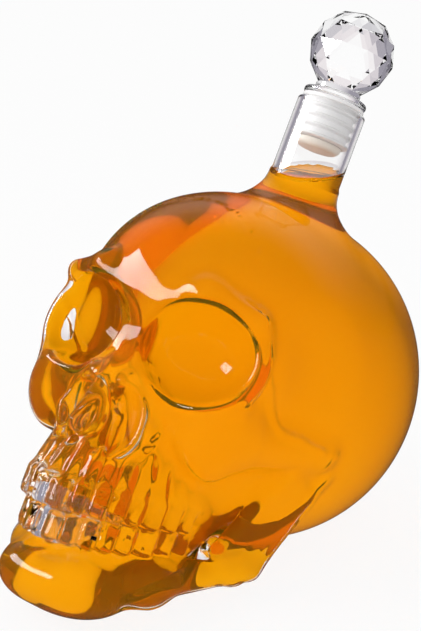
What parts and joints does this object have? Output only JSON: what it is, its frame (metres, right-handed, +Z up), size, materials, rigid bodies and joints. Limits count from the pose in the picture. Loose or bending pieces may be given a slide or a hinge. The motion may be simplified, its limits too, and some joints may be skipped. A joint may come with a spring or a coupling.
{
  "type": "figural liquor decanter",
  "caption": "Skull-shaped clear glass decanter that lies back on jaw and nape, filled with amber liquor; a faceted crystal ball stopper with a ribbed plug closes its straight neck.",
  "frame": {"origin": "middle of the bounding box on the plane the decanter rests on", "axes": "+Z up from the table; -Y the way the face looks; +X the skull's left"},
  "size_m": [0.1158, 0.2066, 0.2039],
  "materials": {
    "blown_glass": "clear, fire polished",
    "amber_liquor": "clear amber liquid",
    "cut_crystal": "cut and polished facets",
    "clear_disc": "clear, polished",
    "sleeve_plastic": "translucent white",
    "stem_plastic": "cream, satin"
  },
  "bodies": {
    "bottle": {"glass_body": "blown_glass", "liquor": "amber_liquor"},
    "seal": {"stopper_sleeve": "sleeve_plastic"},
    "handle": {"stopper_stem": "stem_plastic", "stopper_disc": "clear_disc", "stopper_ball": "cut_crystal"}
  },
  "joints": [
    {"name": "stopper_lift", "type": "slide", "parent": "bottle", "child": "seal", "axis": [0, 0.5048, 0.8632], "range_m": [0, 0.045]},
    {"name": "stopper_twist", "type": "hinge", "parent": "seal", "child": "handle", "pos_m": [0, 0.0695, 0.16801], "axis": [0, 0.5048, 0.8632], "continuous": true}
  ]
}
